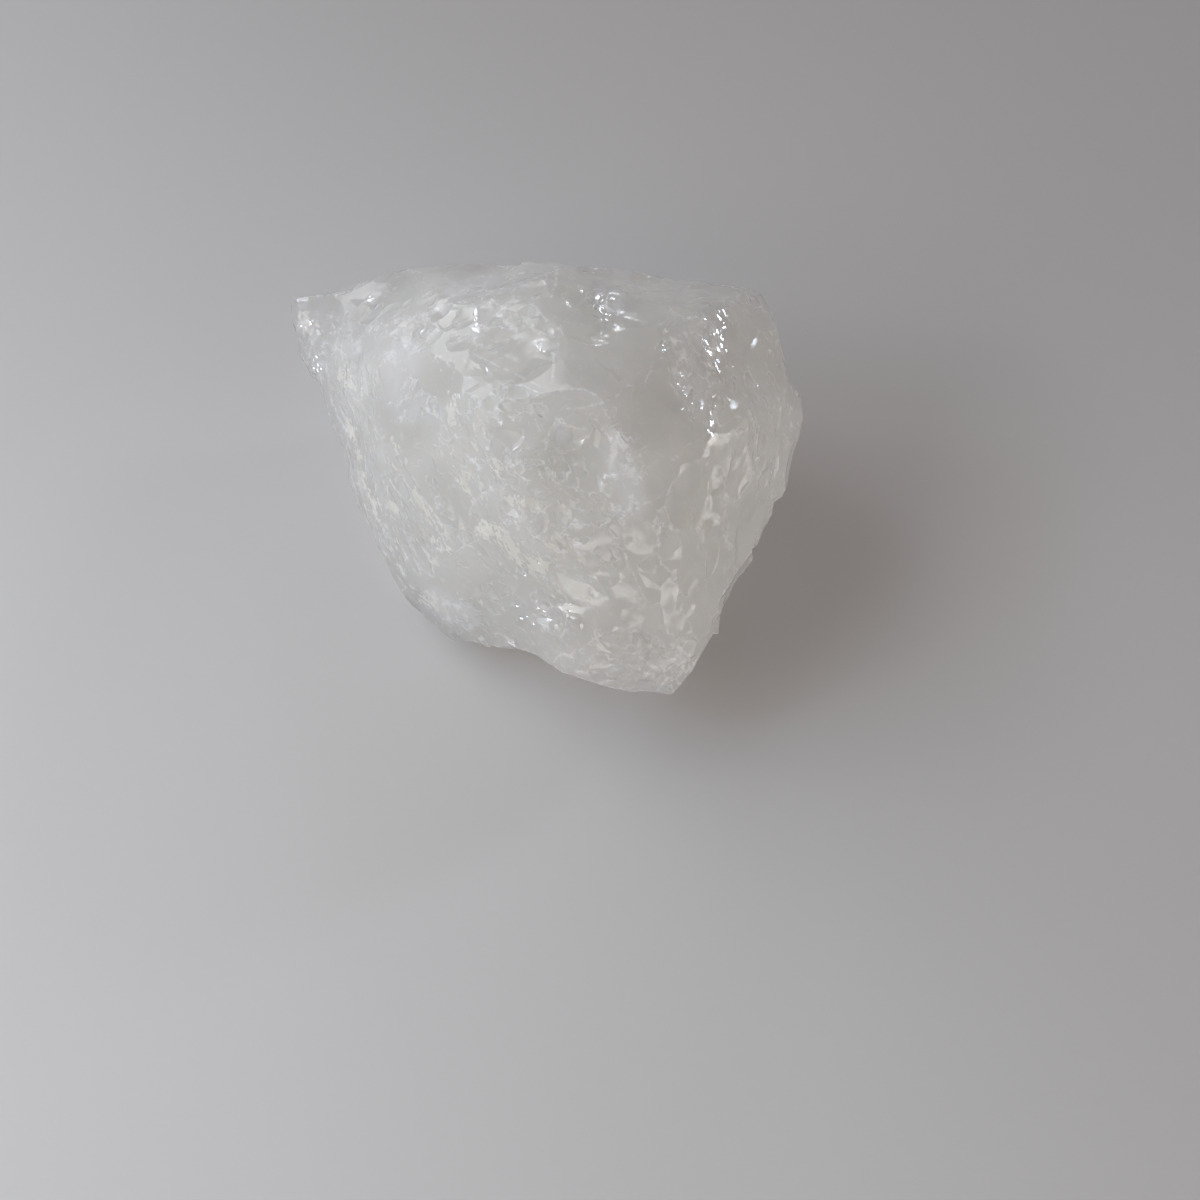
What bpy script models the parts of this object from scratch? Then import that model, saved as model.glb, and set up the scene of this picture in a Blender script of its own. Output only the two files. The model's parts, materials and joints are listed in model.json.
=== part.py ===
"""Rough clear quartz: one broken chunk of rock crystal lying on its flattest fracture face.

The chunk is one solid, and is made in the order in which such a stone comes about: a many-sided block
with its corners where the main fracture faces meet, then broad shell-shaped scars, then small chips,
most of them along the sharp edges. Sizes are in millimetres. +Z is up, the stone's long side lies
along X, and the origin is on the table under the middle of the stone.
"""

import math

import bmesh
import bpy
import numpy as np
from mathutils import Vector
from mathutils.bvhtree import BVHTree

MM = 0.001

# Corners and scars are laid out on a drawing that leans back as a desk easel does and shows the
# stone's top and front at once, in true perspective: a place on it is (across, up) from its origin.
DRAWING_ORIGIN = Vector((0.0, 0.0, 20.0))
DRAWING_UP = Vector((0.0, math.cos(math.radians(23)), math.sin(math.radians(23))))
EYE = Vector((8.1, -180.6, 399.4))

# Widest outline, counter-clockwise from the left tip, each as (across, up, height above the table).
OUTLINE_CORNERS = [
    (-38.6, 26.6, 15.0),  # left tip
    (-37.2, 21.7, 13.0),
    (-35.2, 13.7, 11.5),
    (-30.3, 1.8, 9.0),
    (-25.2, -11.2, 6.0),
    (-23.4, -15.8, 5.0),
    (-20.6, -19.1, 4.0),
    (-15.2, -24.3, 4.5),
    (-11.2, -25.5, 5.0),
    (1.0, -29.3, 8.0),
    (4.0, -31.3, 9.5),
    (11.9, -32.2, 11.0),
    (20.7, -32.6, 11.0),  # front tip
    (23.4, -28.6, 11.5),
    (26.4, -22.7, 13.0),
    (29.7, -14.3, 15.0),
    (32.7, -7.5, 16.5),
    (36.1, 0.0, 19.0),
    (38.0, 5.4, 21.0),
    (39.2, 13.6, 23.0),  # ledge
    (36.3, 19.8, 26.0),
    (34.1, 25.3, 27.0),
    (29.8, 28.2, 28.0),
    (21.6, 29.7, 28.5),
    (9.7, 31.9, 29.0),
    (-2.2, 32.4, 29.0),
    (-15.7, 31.2, 25.0),
    (-25.5, 30.8, 22.0),
    (-32.0, 28.4, 18.0),
]

# Corners of the crown, where the upper fracture faces meet.
CROWN_CORNERS = [
    (-21.2, 20.7, 31.0),  # head of the left ridge
    (-23.9, 5.0, 25.0),  # middle of the left ridge
    (-16.7, -13.0, 17.0),  # foot of the left ridge
    (-5.5, 28.7, 38.0),  # back ridge
    (8.1, 12.7, 44.5),  # summit
    (-11.1, 11.6, 39.0),  # left summit
    (23.0, 23.1, 40.0),  # right summit
    (29.5, 7.1, 35.5),  # right shoulder
    (26.0, -5.0, 27.2),  # ridge on the right flank
    (15.6, -6.2, 38.0),  # foot of the middle ridge
    (-4.0, -4.0, 36.0),  # left breast
    (2.2, -23.7, 19.0),  # lip of the front block, left
    (21.5, -22.5, 20.0),  # lip of the front block, right
]

# Corners under the widest outline, as (x, y, height), and the polygon on which the stone rests.
UNDERSIDE_CORNERS = [
    (-29.0, 24.0, 5.0),
    (27.0, 22.0, 9.0),
    (31.0, 2.0, 7.5),
    (20.0, -20.0, 4.5),
    (6.0, 30.0, 12.0),
]
REST_CORNERS = [(-19, -10), (-22, 7), (-14, 19), (4, 22), (19, 14), (20, -2), (12, -17), (-6, -19)]

# Broad scars on the side that faces the eye, as (across, up, radius of the scar's curve, depth).
FACING_SCARS = [
    (15.0, 18.0, 90.0, 0.8),  # the smooth face right of the summit
    (-4.0, 19.6, 22.0, 1.1),  # the shell scar at the back
    (-20.0, 13.0, 16.0, 1.1),  # the rippled hollow on the left
    (24.0, -8.0, 120.0, 0.7),  # the long right flank
    (11.0, -1.5, 60.0, 1.3),  # the pale facet under the middle ridge
    (-11.0, -1.5, 60.0, 0.9),  # the broken breast
    (-4.5, -13.5, 75.0, 0.9),
    (9.0, -13.0, 60.0, 0.8),
    (-18.5, -6.0, 50.0, 0.8),
    (-13.0, -17.5, 40.0, 0.6),
    (-29.0, 8.0, 50.0, 0.4),
    (-26.0, 25.5, 80.0, 0.35),
    (24.5, 2.0, 35.0, 0.9),
    (28.5, 20.0, 60.0, 0.7),
    (12.0, -27.5, 70.0, 0.4),
    (-4.5, -27.0, 15.0, 0.8),
    (33.0, 7.0, 60.0, 0.4),
]

# Scars that bite into the outline, as (across, up, height, the way they come from, radius). Each just
# reaches the place named; the way is an angle on the drawing, 0 for right and 90 for up.
RIM_SCARS = [
    (35.6, 17.0, 25.0, 15, 4.5),  # notch above the ledge on the right
    (-2.5, -25.9, 6.0, -80, 9.0),  # notch beside the front block
    (-29.2, 28.1, 19.0, 105, 20.0),  # behind the left tip
    (26.2, -20.1, 13.5, -12, 9.0),
    (21.3, -29.0, 11.0, -35, 4.0),  # step beside the front tip
    (3.7, 31.0, 28.5, 92, 25.0),
    (-24.9, -10.4, 6.5, -155, 30.0),
    (35.3, 0.6, 19.0, -15, 22.0),
]

# Splintered patches on that side, as (across, up, spread, number of chips).
BROKEN_PATCHES = [
    (-4.0, -9.0, 7.0, 60),
    (-16.0, 0.0, 5.5, 30),
    (8.0, -20.0, 5.0, 24),
    (25.0, 17.0, 4.5, 26),
    (-31.0, 13.0, 5.0, 20),
    (7.5, 25.5, 3.5, 12),
    (-10.0, 26.0, 5.0, 16),
    (20.0, -29.0, 3.0, 10),
    (-33.0, 24.0, 4.0, 12),
    (10.0, 0.0, 5.0, 16),
]

# Broad scars on the other sides, as (bearing round the stone, slope above the table, radius, depth).
HIDDEN_SCARS = [
    (20, -22, 35.0, 1.0),
    (45, -14, 45.0, 1.2),
    (62, 24, 40.0, 0.7),
    (84, -14, 50.0, 1.4),
    (100, 26, 36.0, 0.8),
    (122, -18, 40.0, 1.2),
    (144, 4, 30.0, 0.9),
    (160, -24, 35.0, 0.9),
    (196, -28, 30.0, 0.9),
    (228, -28, 30.0, 0.9),
    (258, -30, 36.0, 1.0),
    (286, -26, 36.0, 1.1),
    (312, -26, 30.0, 1.0),
    (338, -20, 40.0, 1.0),
    (0, -24, 32.0, 1.0),
]

# Splintered patches on those sides, as (bearing, slope, spread, number of chips).
HIDDEN_PATCHES = [
    (84, -6, 8.0, 34),
    (108, 22, 6.0, 20),
    (150, -14, 6.0, 18),
    (205, -24, 5.0, 14),
    (250, -28, 6.0, 18),
    (300, -24, 7.0, 22),
    (342, -14, 7.0, 22),
    (32, -12, 6.0, 18),
    (56, 22, 5.0, 14),
]
HEART = np.array((0.0, 2.0, 19.0)) * MM  # the point inside that every scar is struck towards
FAR = 100 * MM

SKIN_GRAIN = 0.5  # edge length of the skin that the scars and chips are cut in
CHIP_SEED = 26
TILT_DEPTH = 0.15  # how much deeper a chip may go for being tilted
LEAST_LEFT = 8.0  # no chip comes nearer to the heart than this
FACE_CHIPS = {"count": 120, "radius": (25.0, 85.0), "depth": (0.05, 0.28)}
EDGE_CHIPS = {"count": 300, "radius": (3.5, 25.0), "depth": (0.1, 0.5)}
PATCH_CHIPS = {"radius": (2.8, 10.0), "depth": (0.1, 0.45)}
FLAT_ENOUGH = 0.02  # below this sharpness a place gets no edge chip
SHARP_ENOUGH = 0.1
KEEP_OFF_REST = 1.5  # chips start at least this far above the table
REST_HAIR = 0.25
FINISHED_TRIANGLES = 8000
RIDGE_ANGLE = math.radians(24)  # faces that meet at more than this are shaded with a crisp ridge


def clear_scene():
    """Removes what the scene holds."""
    for thing in list(bpy.data.objects):
        bpy.data.objects.remove(thing, do_unlink=True)


def sight_line(across, up):
    """The way from the eye to that place of the drawing."""
    return DRAWING_ORIGIN + Vector((across, 0.0, 0.0)) + DRAWING_UP * up - EYE


def placed(across, up, height):
    """The point in metres, at that height, that the eye sees at that place of the drawing."""
    sight = sight_line(across, up)
    return (EYE + sight * ((height - EYE.z) / sight.z)) * MM


def block_corners():
    """All corners of the unscarred block, in metres."""
    corners = [placed(*corner) for corner in OUTLINE_CORNERS + CROWN_CORNERS]
    corners += [Vector(corner) * MM for corner in UNDERSIDE_CORNERS]
    return corners + [Vector((x, y, 0.0)) * MM for x, y in REST_CORNERS]


def make_block(name, collection):
    """The many-sided block: the hull of its corners."""
    shape = bmesh.new()
    for corner in block_corners():
        shape.verts.new(corner)
    hull = bmesh.ops.convex_hull(shape, input=shape.verts)
    spare = [item for item in hull["geom_interior"] + hull["geom_unused"] if isinstance(item, bmesh.types.BMVert)]
    bmesh.ops.delete(shape, geom=list(set(spare)), context="VERTS")
    bmesh.ops.recalc_face_normals(shape, faces=shape.faces)
    mesh = bpy.data.meshes.new(name)
    shape.to_mesh(mesh)
    shape.free()
    block = bpy.data.objects.new(name, mesh)
    collection.objects.link(block)
    return block


def apply_modifier(stone, kind, **settings):
    """Adds a modifier with these settings and applies it."""
    modifier = stone.modifiers.new(kind.title(), kind)
    for setting, value in settings.items():
        setattr(modifier, setting, value)
    bpy.context.view_layer.objects.active = stone
    bpy.ops.object.modifier_apply(modifier=modifier.name)


def read_points(mesh):
    """The mesh's points as an array."""
    points = np.empty(len(mesh.vertices) * 3)
    mesh.vertices.foreach_get("co", points)
    return points.reshape(-1, 3)


def write_points(mesh, points):
    """Puts the array's points back in the mesh."""
    mesh.vertices.foreach_set("co", points.ravel())
    mesh.update()


def cut_scar(points, spot, outward, radius, depth):
    """Strikes off what lies inside a large sphere that dips to that depth at a spot on the skin. Each
    point of the skin draws back along its line to the heart, as far as the sphere's near side."""
    centre = np.array(spot) + np.array(outward) * (radius - depth) - HEART
    lines = points - HEART
    lengths = np.linalg.norm(lines, axis=1)
    lines /= lengths[:, None]
    along = lines @ centre
    gap = along * along - (centre @ centre - radius * radius)
    met = (gap > 0) & (along > 0)
    lengths[met] = np.minimum(lengths[met], along[met] - np.sqrt(gap[met]))
    points[:] = HEART + lines * lengths[:, None]


def facing_spot(block, across, up):
    """Where the eye meets the block at that place of the drawing, and which way the block faces there."""
    return block.ray_cast(EYE * MM, sight_line(across, up).normalized())[:2]


def hidden_spot(block, bearing, slope):
    """Where the line from the heart with that bearing and slope leaves the block, and which way it faces."""
    turn, rise = math.radians(bearing), math.radians(slope)
    away = Vector((math.cos(rise) * math.cos(turn), math.cos(rise) * math.sin(turn), math.sin(rise)))
    return block.ray_cast(Vector(HEART) + away * FAR, -away)[:2]


def cut_broad_scars(points, block):
    """Cuts the broad scars of all sides."""
    for across, up, radius, depth in FACING_SCARS:
        cut_scar(points, *facing_spot(block, across, up), radius * MM, depth * MM)
    for bearing, slope, radius, depth in HIDDEN_SCARS:
        cut_scar(points, *hidden_spot(block, bearing, slope), radius * MM, depth * MM)
    for across, up, height, way, radius in RIM_SCARS:
        turn = math.radians(way)
        outward = Vector((math.cos(turn), 0.0, 0.0)) + DRAWING_UP * math.sin(turn)
        cut_scar(points, placed(across, up, height), outward, radius * MM, 0.0)


def edge_sharpness(mesh):
    """For each point, how far the faces round it turn from its own normal, from 0 on a flat."""
    corners = np.empty(len(mesh.loops), int)
    mesh.loops.foreach_get("vertex_index", corners)
    faces = np.repeat(np.arange(len(mesh.polygons)), [face.loop_total for face in mesh.polygons])
    face_normals = np.array([face.normal for face in mesh.polygons])
    point_normals = np.array([vertex.normal for vertex in mesh.vertices])
    turned = 1 - np.einsum("ij,ij->i", face_normals[faces], point_normals[corners])
    sharpness = np.zeros(len(mesh.vertices))
    np.maximum.at(sharpness, corners, turned)
    return sharpness


def cut_chips(mesh, points, chance, chips, seed):
    """Cuts small chips at random spots, more of them where chance is high. All spots lie on the skin
    as it is before the first of these chips, so chips that meet do not dig deeper and deeper."""
    write_points(mesh, points)
    skin = points.copy()
    chance = np.where(skin[:, 2] > KEEP_OFF_REST * MM, chance, 0)
    dice = np.random.default_rng(seed)
    for index in dice.choice(len(skin), chips["count"], replace=False, p=chance / chance.sum()):
        radius, depth = dice.uniform(*chips["radius"]), dice.uniform(*chips["depth"])
        tilt = dice.uniform(-1, 1, 3) * math.sqrt(2 * TILT_DEPTH / radius)
        outward = np.array((mesh.vertices[int(index)].normal + Vector(tilt)).normalized())
        if outward @ (skin[index] - HEART) - depth * MM > LEAST_LEFT * MM:
            cut_scar(points, skin[index], outward, radius * MM, depth * MM)


def nearness(points, spot, spread):
    """How near each point is to a spot: 1 at the spot, fading to nothing in two spreads."""
    return np.exp(-(np.linalg.norm(points - np.array(spot), axis=1) / (spread * MM)) ** 2)


def cut_broken_patches(mesh, points, block):
    """Cuts the dense little chips of the patches where the stone is splintered."""
    patches = [(facing_spot(block, *place)[0], spread, count) for *place, spread, count in BROKEN_PATCHES]
    patches += [(hidden_spot(block, *place)[0], spread, count) for *place, spread, count in HIDDEN_PATCHES]
    for number, (spot, spread, count) in enumerate(patches):
        chips = {**PATCH_CHIPS, "count": count}
        cut_chips(mesh, points, nearness(points, spot, spread), chips, CHIP_SEED + 10 + number)


def flatten_rest(points):
    """Brings what lies within a hair of the table onto it, so that the resting face is a true plane."""
    points[points[:, 2] < REST_HAIR * MM, 2] = 0.0


def centre_on_origin(points):
    """Moves the stone so that the origin is on the table under its middle."""
    low, high = points.min(axis=0), points.max(axis=0)
    points -= [(low[0] + high[0]) / 2, (low[1] + high[1]) / 2, low[2]]


def quartz_material():
    """Clear, slightly warm quartz."""
    material = bpy.data.materials.new("clear_quartz")
    material.use_nodes = True
    shader = material.node_tree.nodes["Principled BSDF"]
    shader.inputs["Base Color"].default_value = (0.93, 0.91, 0.89, 1.0)
    shader.inputs["Roughness"].default_value = 0.12
    shader.inputs["Metallic"].default_value = 0.0
    shader.inputs["IOR"].default_value = 1.544
    shader.inputs["Transmission Weight"].default_value = 0.9
    return material


def make_quartz(collection):
    """The whole stone."""
    stone = make_block("quartz", collection)
    block = BVHTree.FromPolygons(
        [vertex.co for vertex in stone.data.vertices],
        [face.vertices for face in stone.data.polygons],
    )
    apply_modifier(stone, "REMESH", mode="VOXEL", voxel_size=SKIN_GRAIN * MM)
    mesh = stone.data
    points = read_points(mesh)
    cut_broad_scars(points, block)
    cut_chips(mesh, points, np.ones(len(points)), FACE_CHIPS, CHIP_SEED)
    cut_broken_patches(mesh, points, block)
    write_points(mesh, points)
    sharp = np.clip(edge_sharpness(mesh) - FLAT_ENOUGH, 0, SHARP_ENOUGH)
    cut_chips(mesh, points, sharp, EDGE_CHIPS, CHIP_SEED + 1)
    flatten_rest(points)
    write_points(mesh, points)
    mesh.calc_loop_triangles()
    share = FINISHED_TRIANGLES / len(mesh.loop_triangles)
    apply_modifier(stone, "DECIMATE", ratio=share, use_collapse_triangulate=True)
    points = read_points(stone.data)
    flatten_rest(points)
    centre_on_origin(points)
    write_points(stone.data, points)
    stone.data.shade_smooth()
    stone.data.set_sharp_from_angle(angle=RIDGE_ANGLE)
    stone.data.materials.append(quartz_material())
    return stone


def main():
    """Builds the stone in a collection of its own."""
    clear_scene()
    collection = bpy.data.collections.new("rough_clear_quartz")
    bpy.context.scene.collection.children.link(collection)
    make_quartz(collection)


main()
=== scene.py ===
"""Rough clear quartz: one broken chunk of milky rock crystal resting on a pale table."""

import json
import math

import bpy
import numpy as np
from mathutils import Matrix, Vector, noise
from mathutils.bvhtree import BVHTree

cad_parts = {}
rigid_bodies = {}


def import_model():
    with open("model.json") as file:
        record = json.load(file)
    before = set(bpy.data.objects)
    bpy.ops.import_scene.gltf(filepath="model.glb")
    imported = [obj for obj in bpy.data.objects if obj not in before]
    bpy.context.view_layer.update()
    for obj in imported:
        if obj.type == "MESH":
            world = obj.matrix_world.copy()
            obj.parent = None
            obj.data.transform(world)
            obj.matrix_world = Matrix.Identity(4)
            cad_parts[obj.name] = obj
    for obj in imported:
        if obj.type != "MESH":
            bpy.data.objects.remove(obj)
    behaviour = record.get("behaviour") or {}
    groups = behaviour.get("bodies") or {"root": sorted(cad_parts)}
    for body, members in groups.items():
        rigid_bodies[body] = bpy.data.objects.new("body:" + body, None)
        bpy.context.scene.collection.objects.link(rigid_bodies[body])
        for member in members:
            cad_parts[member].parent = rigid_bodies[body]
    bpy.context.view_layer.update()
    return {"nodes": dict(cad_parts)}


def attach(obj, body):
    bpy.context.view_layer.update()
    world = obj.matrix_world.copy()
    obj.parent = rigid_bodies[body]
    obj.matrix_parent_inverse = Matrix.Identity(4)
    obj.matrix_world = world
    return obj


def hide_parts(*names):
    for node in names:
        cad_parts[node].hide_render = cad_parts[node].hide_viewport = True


MM = 0.001

# The sight line that the stone's drawing was made along, in the model's own frame
EYE = Vector((8.588, -182.13, 399.33)) * MM
AIM = Vector((8.588, -18.117, 12.940)) * MM

# The drawing: a leaning plane through the stone, ruled in columns and rows of small squares
DRAWING_LEAN = math.radians(23)
DRAWING_ORIGIN = Vector((0.440, -1.484, 20.0)) * MM
ACROSS = Vector((1, 0, 0))
UP = Vector((0, math.cos(DRAWING_LEAN), math.sin(DRAWING_LEAN)))
GRID_MIDDLE = (545, 478)
SQUARE = 0.14815 * MM

# Where the lamps stand: window, side window, far right, far wall, window's lower right part
LAMPS = {
    1: Vector((-0.36, 0.17, 0.29)),
    2: Vector((-0.38, -0.03, 0.29)),
    3: Vector((0.70, 0.55, 0.38)),
    4: Vector((0.05, 0.95, 0.32)),
    5: Vector((-0.27, 0.24, 0.24)),
}
DAYLIGHT = (0.80, 0.88, 1.0)

# Chips that are scattered by chance: seeds, how many flakes and ridge chips, and their sizes
# in mm, their depths as a share of their widths, and how far they lean off the skin
CHIP_SEED = 5
SPARKLE_SEED = 8
FLAKES = {"count": 150, "sizes": (6, 18), "deep": (0.012, 0.03), "lean": 0.08}
RIDGE_CHIPS = {"count": 350, "sizes": (1.0, 4.5), "deep": (0.03, 0.07), "lean": 0.1}
FLAT_SHARES = [0.0, 0.3, 0.6]
ZONE_LEAN = 0.12
SPARKLE_LEAN = 0.012
TIP_SPARED = 4

# A cutter: its reach past the chip's rim in half widths, where its ripples start from, and
# how far outside the skin its sides and its lip stand
CHIP_REACH = 1.7
BLOW = (-1.1, -1.0)
FAR_OUT = 40 * MM
NOWHERE = -1.0
SIDE_CLEARANCE = 0.15 * MM
LIP_CLEARANCE = 0.12 * MM

# The finished mesh: triangles after thinning, longest edges, and what is shaded smooth
THINNED = 95_000
LONGEST_EDGE = 1.0 * MM
LONGEST_FINE_EDGE = 0.25 * MM
SMOOTH_ANGLE = math.radians(10)

# The quartz: bending of light, share of milk, how far light wanders in it, and its colours
QUARTZ_IOR = 1.544
MILK = 0.70
WANDER = (0.045, 0.042, 0.039)
WARM_MILK = (0.962, 0.912, 0.868, 1)
WHITE_MILK = (0.985, 0.985, 0.99, 1)
# Painted sheen: a bluish tone that stands in for the window lamp's reflection
PAINTED_SHEEN_BLUE = (0.955, 0.955, 1.0, 1)
CHALK = (0.88, 0.865, 0.81, 1)
SOOT = (0.25, 0.24, 0.21, 1)
SMOKE = (0.90, 0.84, 0.78, 1)
SMOKE_DENSITY = 5.0

# Where the outline swells: column, row, shift across and up in mm, reach in mm
SWELLS = [
    (296, 300, 0.0, 0.5, 6),
    (530, 267, 0.0, 1.2, 6),
    (768, 311, 1.1, 0.9, 6),
    (576, 676, -0.3, -1.5, 7),
    (515, 648, 0.0, -1.1, 5),
    (345, 545, -0.5, -0.1, 8),
    (786, 474, 0.7, -0.1, 4),
    (772, 508, 1.0, -0.2, 3.5),
    (753, 560, 1.1, -0.3, 3.5),
    (722, 624, 1.2, -0.3, 4),
]

# Notches in the outline, as corners on the drawing grid, cut along the sight line
NOTCHES = [
    [(785, 366), (789, 384), (803, 391), (822, 388), (822, 362)],
    [
        (713, 634), (706, 646), (698, 660), (692, 671), (687, 679), (681, 686),
        (690, 700), (722, 690), (722, 634),
    ],
    [(781, 497), (774, 502), (772, 512), (784, 516), (790, 500)],
    [(757, 545), (752, 549), (752, 556), (765, 560), (768, 545)],
    [(738, 592), (731, 598), (730, 608), (744, 612), (748, 592)],
]

# Places are columns and rows of the drawing grid, sizes are in mm:
# middle column and row, half width and height, how many, smallest and largest chip,
# slimness, bearing of their length and its spread in degrees, depth as a share of width
ZONES = [
    (500, 450, 75, 70, 90, (1.2, 5.0), (0.3, 0.9), -50, 40, (0.03, 0.08)),
    (530, 540, 95, 60, 90, (1.2, 5.0), (0.3, 0.9), -35, 40, (0.03, 0.08)),
    (370, 440, 30, 75, 60, (3.0, 12.0), (0.12, 0.3), -68, 8, (0.05, 0.1)),
    (400, 530, 35, 60, 50, (3.0, 10.0), (0.12, 0.3), -62, 10, (0.05, 0.1)),
    (330, 355, 30, 45, 35, (1.2, 4.0), (0.3, 0.8), -50, 40, (0.04, 0.1)),
    (430, 320, 90, 30, 45, (1.5, 5.0), (0.3, 0.8), 20, 30, (0.03, 0.08)),
    (710, 370, 28, 75, 50, (1.2, 4.5), (0.3, 0.9), -75, 30, (0.04, 0.1)),
    (500, 615, 75, 25, 50, (1.2, 4.5), (0.3, 0.8), -20, 35, (0.04, 0.1)),
    (640, 655, 65, 30, 35, (1.5, 4.5), (0.3, 0.8), -30, 60, (0.04, 0.1)),
    (775, 430, 25, 90, 40, (1.5, 5.0), (0.3, 0.8), -80, 30, (0.03, 0.08)),
    (640, 560, 80, 80, 20, (4.0, 10.0), (0.3, 0.8), -60, 40, (0.015, 0.04)),
    (600, 340, 80, 50, 16, (3.0, 8.0), (0.3, 0.8), -60, 60, (0.015, 0.04)),
]

# Scars that stand out: column, row, length, width, bearing, depth, ripple, the lamp that
# the scar is turned to mirror along the sight line (0 none) and by how many degrees at most
SCARS = [
    (411, 380, 12.5, 7.8, -78, 0.55, 0.05, 5, 22),
    (433, 412, 3.4, 1.8, -60, 0.30, 0.03, 5, 24),
    (444, 610, 8.0, 4.4, -28, 0.40, 0.02, 2, 35),
    (674, 673, 5.5, 3.0, 50, 0.50, 0.0, 0, 0),
    (706, 497, 11.0, 6.5, -84, 0.45, 0.0, 0, 0),
    (602, 304, 5.5, 1.7, -86, 0.35, 0.0, 4, 25),
    (719, 338, 5.5, 1.6, -84, 0.35, 0.0, 3, 25),
    (708, 346, 3.4, 1.2, -76, 0.30, 0.0, 3, 25),
    (712, 312, 2.6, 1.2, -50, 0.30, 0.0, 3, 25),
    (688, 380, 7.5, 5.0, -60, 0.30, 0.03, 0, 0),
    (664, 340, 3.2, 1.3, -65, 0.25, 0.0, 3, 25),
    (712, 425, 6.5, 1.6, -88, 0.35, 0.0, 3, 25),
    (478, 318, 3.6, 1.5, -85, 0.30, 0.0, 1, 20),
    (540, 346, 2.6, 1.3, -40, 0.30, 0.0, 1, 20),
    (561, 431, 2.8, 1.5, -80, 0.25, 0.0, 2, 25),
    (541, 398, 2.6, 1.5, -30, 0.25, 0.0, 1, 20),
    (621, 472, 12.5, 5.0, -58, 0.50, 0.0, 5, 40),
    (548, 623, 5.5, 1.8, -10, 0.30, 0.0, 2, 25),
    (520, 612, 6.0, 4.0, -40, 0.35, 0.03, 2, 20),
    (527, 288, 6.5, 5.5, 0, 0.60, 0.0, 0, 0),
    (516, 345, 11.5, 8.5, -20, 0.60, 0.0, 0, 0),
    (372, 297, 2.2, 1.4, 20, 0.20, 0.0, 1, 25),
    (421, 327, 3.0, 1.6, -80, 0.30, 0.0, 1, 25),
    (640, 545, 9.0, 6.0, -60, 0.35, 0.0, 0, 0),
    (590, 460, 8.0, 6.0, -60, 0.35, 0.0, 0, 0),
    (455, 500, 8.0, 5.0, -55, 0.40, 0.0, 0, 0),
    (740, 470, 10.0, 6.0, -85, 0.35, 0.02, 0, 0),
]

# Clusters of tiny facets that mirror a lamp: column, row, half width and height, how many,
# smallest and largest in mm, slimness, bearing of their length, lamp
SPARKLES = [
    (716, 335, 8, 20, 7, (2.5, 5.0), 0.22, -84, 3),
    (712, 425, 3, 14, 3, (2.0, 4.0), 0.25, -86, 3),
    (664, 340, 2, 4, 2, (2.0, 3.2), 0.28, -65, 3),
    (601, 306, 5, 10, 4, (2.5, 5.0), 0.25, -86, 4),
    (479, 318, 3, 5, 2, (2.0, 3.4), 0.3, -85, 1),
    (402, 398, 10, 10, 5, (2.4, 4.4), 0.16, 45, 1),
    (717, 332, 10, 24, 26, (0.7, 1.8), 0.45, -80, 3),
    (712, 425, 4, 18, 7, (0.6, 1.4), 0.4, -85, 3),
    (664, 343, 4, 10, 5, (0.6, 1.2), 0.4, -65, 3),
    (690, 400, 14, 18, 5, (0.5, 1.0), 0.5, -60, 3),
    (604, 304, 9, 16, 16, (0.7, 1.8), 0.4, -82, 4),
    (595, 272, 14, 4, 6, (0.6, 1.2), 0.5, 10, 4),
    (400, 398, 14, 14, 10, (1.0, 2.6), 0.18, 48, 1),
    (417, 415, 8, 8, 3, (0.8, 1.6), 0.3, 60, 1),
    (478, 316, 5, 11, 6, (0.6, 1.5), 0.4, -85, 1),
    (541, 347, 6, 6, 5, (0.5, 1.2), 0.4, -40, 1),
    (306, 322, 9, 9, 6, (0.5, 1.2), 0.5, -60, 1),
    (316, 372, 6, 20, 8, (0.5, 1.2), 0.4, -70, 1),
    (372, 300, 8, 6, 4, (0.5, 1.0), 0.5, 20, 1),
    (548, 611, 26, 12, 14, (0.5, 1.3), 0.4, -30, 2),
    (592, 592, 5, 6, 4, (0.5, 1.1), 0.5, -50, 2),
    (561, 431, 4, 8, 3, (0.5, 1.1), 0.4, -80, 2),
    (455, 402, 8, 12, 5, (0.5, 1.0), 0.5, -70, 1),
    (500, 470, 30, 24, 10, (0.4, 1.0), 0.4, -50, 1),
    (545, 560, 20, 20, 7, (0.4, 1.0), 0.4, -45, 2),
    (440, 310, 30, 14, 7, (0.4, 1.0), 0.5, 15, 1),
    (360, 470, 20, 60, 8, (0.4, 1.1), 0.3, -68, 1),
]

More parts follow.
